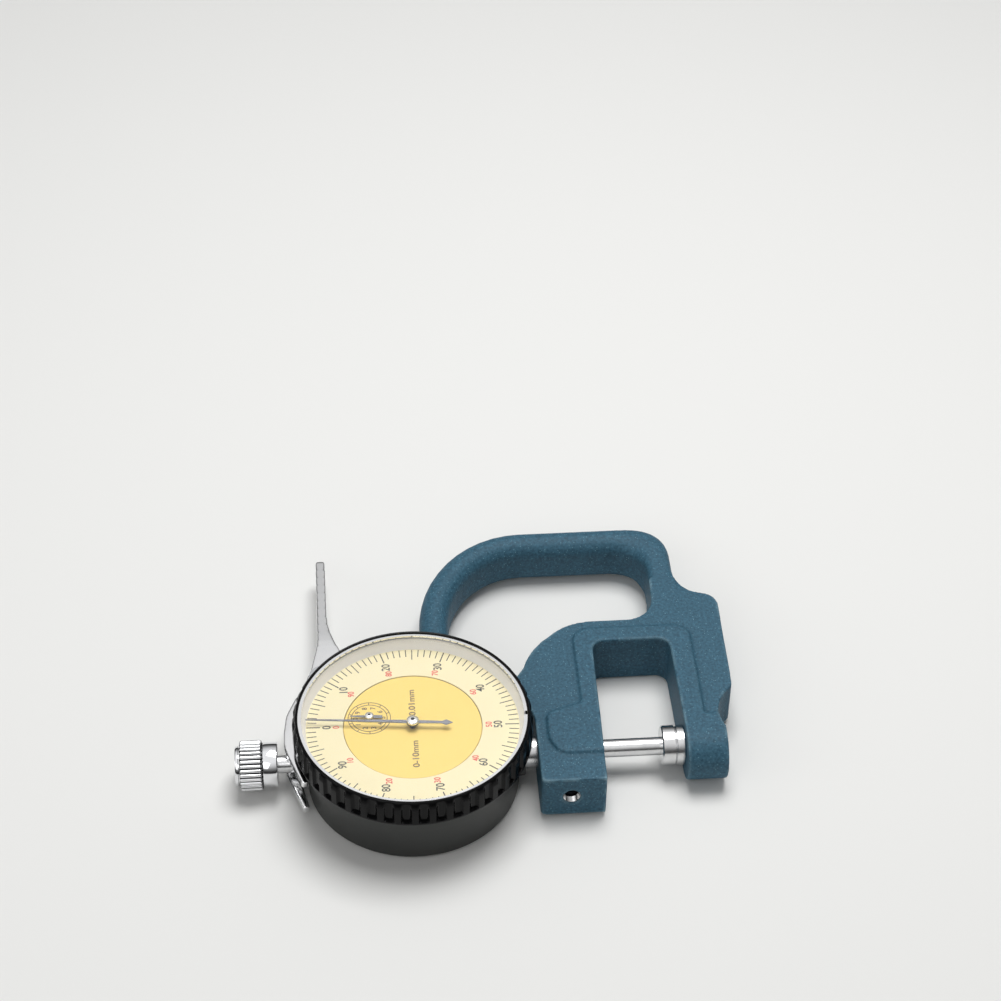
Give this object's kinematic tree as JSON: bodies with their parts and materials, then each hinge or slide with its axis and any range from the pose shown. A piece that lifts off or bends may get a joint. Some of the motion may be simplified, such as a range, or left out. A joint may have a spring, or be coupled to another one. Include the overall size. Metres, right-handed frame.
{
  "type": "dial thickness gauge",
  "caption": "Hand-held dial thickness gauge: cast frame with throat and finger handle, sliding spindle with flat discs, geared dial in a turning bezel, and a thumb lever to lift the spindle.",
  "frame": {"origin": "dial axis at the outer face of the back cover, the face that the gauge lies on", "axes": "+X along the spindle from the knob to the anvil, +Y towards the finger handle, +Z out of the dial"},
  "size_m": [0.1245, 0.1035, 0.0229],
  "materials": {
    "frame_paint": "sandy matt paint",
    "steel": "ground",
    "chrome": "polished",
    "case_grey": "satin",
    "bezel_black": "gloss",
    "ring_white": "matt",
    "dial_cream": "printed, matt",
    "dial_yellow": "printed, matt",
    "window": "clear",
    "hand_grey": "satin",
    "brass": "turned"
  },
  "bodies": {
    "gauge_body": {"frame": "frame_paint", "anvil": "steel", "stem_set_screw": "steel", "stem": "steel", "case": "case_grey", "top_bush": "steel", "back_cover": "case_grey", "back_cover_screws": "steel", "rear_plate": "brass", "movement_screws": "steel", "plate_pillars": "brass", "front_plate": "brass", "plate_screws": "steel", "lower_bridge": "brass", "bridge_screws": "steel", "guide_rail": "brass", "spring_post_pin": "steel", "return_spring": "steel", "hairspring_stud": "steel", "hairspring": "steel", "dial_plate": "dial_yellow", "lever_bracket": "steel", "bracket_screws": "steel", "lever_pin": "steel"},
    "spindle_unit": {"spindle": "steel", "guide_pin": "steel", "contact_disc": "steel", "lifting_knob": "chrome"},
    "lever": {"lift_lever": "chrome"},
    "bezel_unit": {"bezel": "bezel_black", "scale_ring": "dial_cream", "reflector_ring": "ring_white", "crystal": "window", "crystal_snap_ring": "chrome"},
    "wheel_unit": {"rack_arbor": "steel", "first_wheel": "brass"},
    "centre_unit": {"centre_arbor": "steel", "large_hand": "hand_grey"},
    "counter_unit": {"counter_arbor": "steel", "takeup_wheel": "brass", "small_hand": "hand_grey"}
  },
  "joints": [
    {"name": "spindle_lift", "type": "slide", "parent": "gauge_body", "child": "spindle_unit", "axis": [-1, 0, 0], "range_m": [0, 0.01], "stiffness_N_per_m": 60, "springref_m": -0.02, "deforming": ["return_spring"]},
    {"name": "lever_press", "type": "hinge", "parent": "gauge_body", "child": "lever", "pos_m": [-0.0215, 0.02397, 0.0072], "axis": [0, 0, -1], "range_deg": [0, 28]},
    {"name": "wheel_turn", "type": "hinge", "parent": "gauge_body", "child": "wheel_unit", "pos_m": [0.01042, -0.00333, 0.0122], "axis": [0, 0, 1], "range_deg": [0, 361]},
    {"name": "hand_turn", "type": "hinge", "parent": "gauge_body", "child": "centre_unit", "pos_m": [0, 0, 0.0122], "axis": [0, 0, -1], "range_deg": [0, 3601]},
    {"name": "counter_turn", "type": "hinge", "parent": "gauge_body", "child": "counter_unit", "pos_m": [-0.01042, 0.00333, 0.0122], "axis": [0, 0, 1], "range_deg": [0, 361], "deforming": ["hairspring"]},
    {"name": "bezel_turn", "type": "hinge", "parent": "gauge_body", "child": "bezel_unit", "pos_m": [0, 0, 0.0173], "axis": [0, 0, 1], "continuous": true}
  ],
  "couplings": [
    {"joint": "lever_press", "follows": "spindle_lift", "rad_per_m": 48.171},
    {"joint": "wheel_turn", "follows": "spindle_lift", "rad_per_m": 628.32},
    {"joint": "hand_turn", "follows": "spindle_lift", "rad_per_m": 6283.2},
    {"joint": "counter_turn", "follows": "spindle_lift", "rad_per_m": 628.32}
  ]
}
